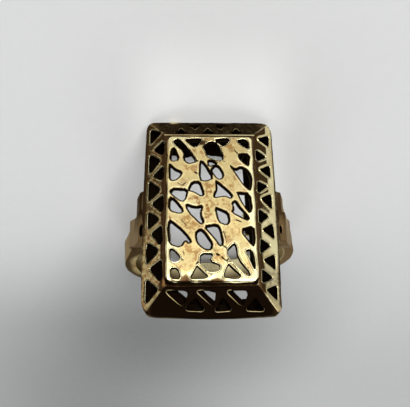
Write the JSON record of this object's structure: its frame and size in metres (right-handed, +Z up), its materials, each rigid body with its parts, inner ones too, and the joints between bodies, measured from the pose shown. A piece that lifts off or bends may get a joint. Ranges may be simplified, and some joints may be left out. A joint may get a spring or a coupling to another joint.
{
  "type": "ring",
  "caption": "Dress ring with a long rectangular pierced head, a sloping zigzag frame, stepped shoulders and a flat hoop, lying on its side.",
  "frame": {"origin": "centre of the bounding box's base, on the surface the ring lies on", "axes": "+Z up, -Y the way the table faces and then up at 23 degrees, +X along the head's width"},
  "size_m": [0.0208, 0.0264, 0.0204],
  "materials": {
    "gold": "worn polish, dark tarnish in the hollows"
  },
  "bodies": {
    "root": {"ring": "gold"}
  },
  "joints": []
}
